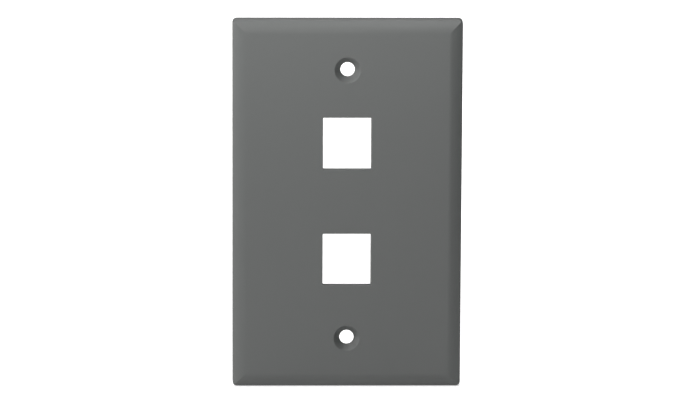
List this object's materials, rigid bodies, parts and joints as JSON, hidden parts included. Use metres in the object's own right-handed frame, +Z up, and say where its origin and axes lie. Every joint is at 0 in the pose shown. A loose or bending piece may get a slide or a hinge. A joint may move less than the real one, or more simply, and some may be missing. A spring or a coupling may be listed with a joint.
{
  "type": "keystone wall plate",
  "caption": "Single-gang wall plate with stacked keystone jack ports, countersunk cover-screw holes and a crowned border.",
  "frame": {"origin": "centre of the plate on the wall plane, which is the plane of the rear rim", "axes": "+X to the right as seen from the front, +Z up, +Y into the wall, so the front faces -Y"},
  "size_m": [0.07, 0.0099, 0.114],
  "materials": {
    "plate": "fine matte as-moulded"
  },
  "bodies": {
    "root": {"faceplate": "plate"}
  },
  "joints": []
}
